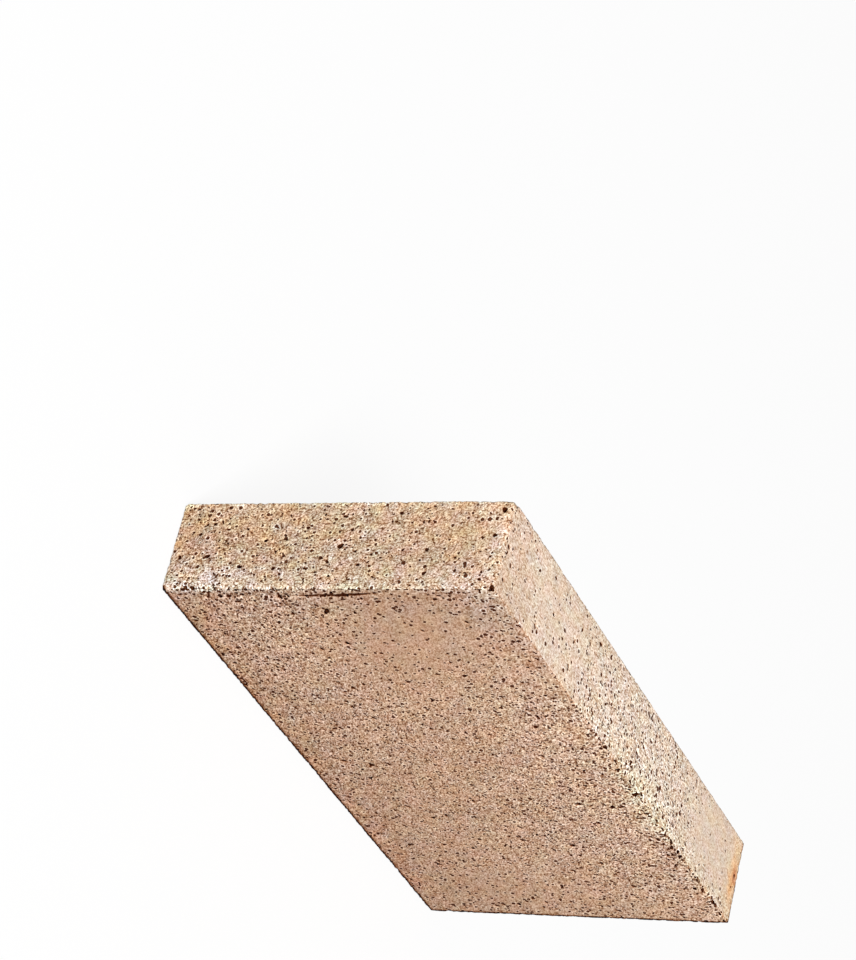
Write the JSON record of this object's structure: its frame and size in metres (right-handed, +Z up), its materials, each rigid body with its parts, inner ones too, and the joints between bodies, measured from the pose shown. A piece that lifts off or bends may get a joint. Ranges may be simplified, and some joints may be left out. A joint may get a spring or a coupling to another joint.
{
  "type": "refractory firebrick",
  "caption": "Thin rectangular fireclay brick (a split), standing on its long narrow face, with eased arrises, a bevelled end arris and small chips, for lining furnaces and kilns.",
  "frame": {"origin": "middle of the long narrow face that the brick stands on", "axes": "+X along the length, from the near header to the far one; +Y through the thickness, from the near bed face to the far one; +Z up the width, from the foot to the top narrow face"},
  "size_m": [0.2286, 0.0318, 0.1143],
  "materials": {
    "fireclay": "matte"
  },
  "bodies": {
    "root": {"firebrick": "fireclay"}
  },
  "joints": []
}
